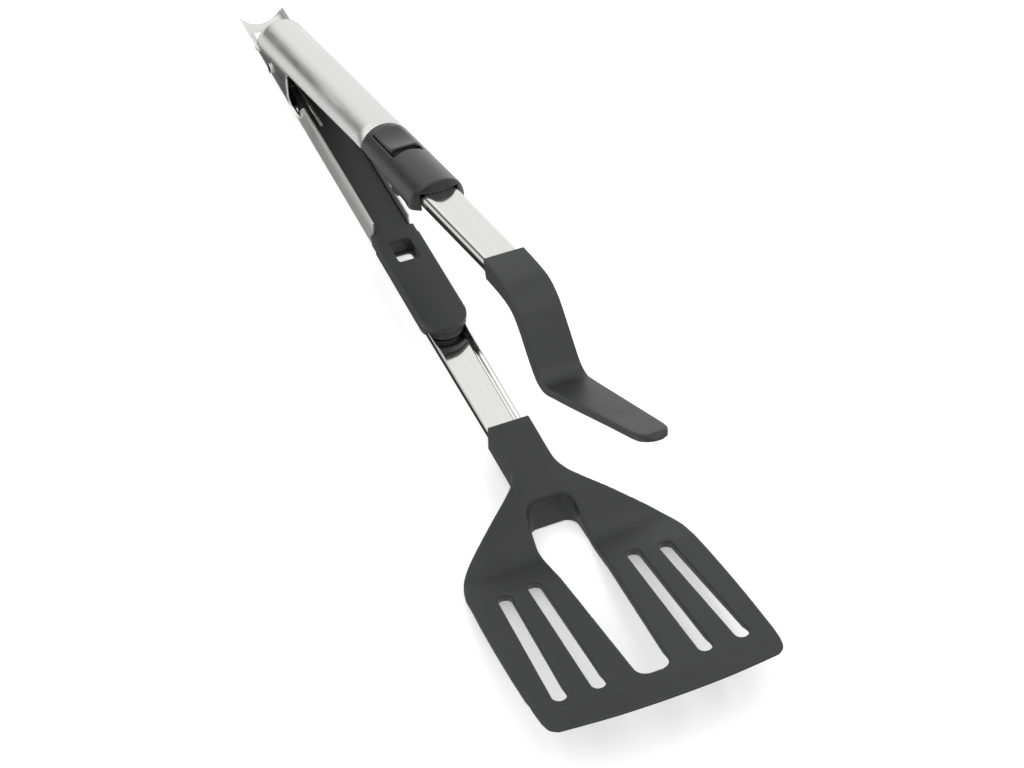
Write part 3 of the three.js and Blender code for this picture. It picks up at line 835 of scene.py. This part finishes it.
upper_leg = [(-2.4, -2.4, 3.6), (2, -2.3, 7.5), (14, -2.3, 10.6), (40, -2.3, 13.2)]
finish_piece(
    wire("spring_looks", coil_points(4.25, math.pi, 4.9, -2.3)[:-3] + upper_leg, TUBE),
    "handle", ["torsion_spring"], SPRING)
lower_leg = [(6, LEG_SIDE, -3.7), (12, LEG_SIDE, -3.1), (30, LEG_SIDE, -3.1), (48, LEG_SIDE, -3.1)]
finish_piece(
    wire("spring_leg_looks", coil_points(0.75, 0, LEG_SIDE, LEG_SIDE) + lower_leg, ARM),
    "lower_arm", ["spring_leg"], SPRING)

# ---------------------------------------------------------------- carried-over CAD pieces

CAD_FINISH = {
    "end_plug": NYLON, "hinge_pin": BRIGHT, "spacer_left": WASHER, "spacer_right": WASHER,
    "cap_screw_rear": BRIGHT, "cap_screw_front": BRIGHT, "hook_screw": BRIGHT,
    "detent_spring": SPRING, "catch_plate": BRIGHT, "liner_rivet": BRIGHT,
    "pad_rivet_rear": BRIGHT, "pad_rivet_front": BRIGHT, "bush_left": BRONZE, "bush_right": BRONZE,
}
for node, material in CAD_FINISH.items():
    data = frame["nodes"][node].data
    data.materials.clear()
    data.materials.append(material)

# ---------------------------------------------------------------- floor, light and camera


def light_table():
    """A pale floor that glows a little, as a lit product table does."""
    mesh = bmesh.new()
    bmesh.ops.create_grid(mesh, x_segments=4, y_segments=4, size=4)
    data = bpy.data.meshes.new("floor")
    mesh.to_mesh(data)
    mesh.free()
    floor = bpy.data.objects.new("floor", data)
    bpy.context.scene.collection.objects.link(floor)
    n = Nodes("floor_white")
    n.set(Base_Color=(0.82, 0.82, 0.82, 1), Roughness=0.18, Specular_IOR_Level=0.5,
          Emission_Color=(1, 1, 1, 1), Emission_Strength=0.38)
    data.materials.append(n.material)
    floor.visible_glossy = False


DARK_CARD = (-0.70, -0.27, -0.66)


def studio_sky():
    """White dome with a dark band below the horizon and a small dark card, which steel mirrors."""
    world = bpy.data.worlds.new("studio")
    bpy.context.scene.world = world
    world.use_nodes = True
    tree = world.node_tree
    back = tree.nodes["Background"]
    place = tree.nodes.new("ShaderNodeTexCoord").outputs["Generated"]
    height = tree.nodes.new("ShaderNodeSeparateXYZ")
    tree.links.new(place, height.inputs[0])
    ramp = tree.nodes.new("ShaderNodeValToRGB")
    steps = ramp.color_ramp
    steps.elements[0].position = 0.42
    steps.elements[0].color = (0.8, 0.8, 0.8, 1)
    steps.elements[1].position = 0.575
    steps.elements[1].color = (1, 1, 1, 1)
    for position, tone in ((0.45, 0.06), (0.515, 0.09)):
        steps.elements.new(position).color = (tone, tone, tone, 1)
    half = tree.nodes.new("ShaderNodeMapRange")
    half.inputs["From Min"].default_value = -1
    tree.links.new(height.outputs["Z"], half.inputs["Value"])
    tree.links.new(half.outputs["Result"], ramp.inputs["Fac"])
    side = tree.nodes.new("ShaderNodeMapRange")
    side.inputs["From Min"].default_value = 0.05
    side.inputs["From Max"].default_value = -0.2
    tree.links.new(height.outputs["Y"], side.inputs["Value"])
    banded = tree.nodes.new("ShaderNodeMix")
    banded.data_type = "RGBA"
    banded.inputs["A"].default_value = (0.92, 0.92, 0.92, 1)
    tree.links.new(side.outputs["Result"], banded.inputs["Factor"])
    tree.links.new(ramp.outputs["Color"], banded.inputs["B"])
    spot = tree.nodes.new("ShaderNodeVectorMath")
    spot.operation = "DOT_PRODUCT"
    spot.inputs[1].default_value = DARK_CARD
    tree.links.new(place, spot.inputs[0])
    card = tree.nodes.new("ShaderNodeMapRange")
    card.inputs["From Min"].default_value = 0.96
    card.inputs["From Max"].default_value = 0.985
    tree.links.new(spot.outputs["Value"], card.inputs["Value"])
    shaded = tree.nodes.new("ShaderNodeMix")
    shaded.data_type = "RGBA"
    shaded.inputs["B"].default_value = (0.03, 0.03, 0.03, 1)
    tree.links.new(card.outputs["Result"], shaded.inputs["Factor"])
    tree.links.new(banded.outputs["Result"], shaded.inputs["A"])
    seen = tree.nodes.new("ShaderNodeLightPath").outputs["Is Camera Ray"]
    mix = tree.nodes.new("ShaderNodeMix")
    mix.data_type = "RGBA"
    mix.inputs["B"].default_value = (1, 1, 1, 1)
    tree.links.new(seen, mix.inputs["Factor"])
    tree.links.new(shaded.outputs["Result"], mix.inputs["A"])
    tree.links.new(mix.outputs["Result"], back.inputs["Color"])
    back.inputs["Strength"].default_value = 1.0


def soft_light(name, place, aim, size, power):
    light = bpy.data.lights.new(name, "AREA")
    light.shape = "RECTANGLE"
    light.size, light.size_y = size
    light.energy = power
    lamp = bpy.data.objects.new(name, light)
    lamp.location = place
    lamp.rotation_euler = (Vector(aim) - Vector(place)).to_track_quat("-Z", "Y").to_euler()
    bpy.context.scene.collection.objects.link(lamp)


CAMERA_PLACE = (924.5, -274.2, 734.6)
CAMERA_AIM = (243.3, 8.7, 0.0)


def photo_camera():
    data = bpy.data.cameras.new("camera")
    data.sensor_width = 36
    data.lens = 87.9
    camera = bpy.data.objects.new("camera", data)
    place, aim = ARM @ Vector(CAMERA_PLACE), ARM @ Vector(CAMERA_AIM)
    camera.location = place
    camera.rotation_euler = (aim - place).to_track_quat("-Z", "Y").to_euler()
    bpy.context.scene.collection.objects.link(camera)
    bpy.context.scene.camera = camera


light_table()
studio_sky()
soft_light("key", (-0.5, -0.9, 1.3), (0, 0, 0), (1.6, 1.4), 4)
soft_light("top", (0.3, 0.5, 1.5), (0.05, 0, 0), (1.6, 1.4), 4)
photo_camera()
bpy.context.scene.view_settings.view_transform = "Standard"
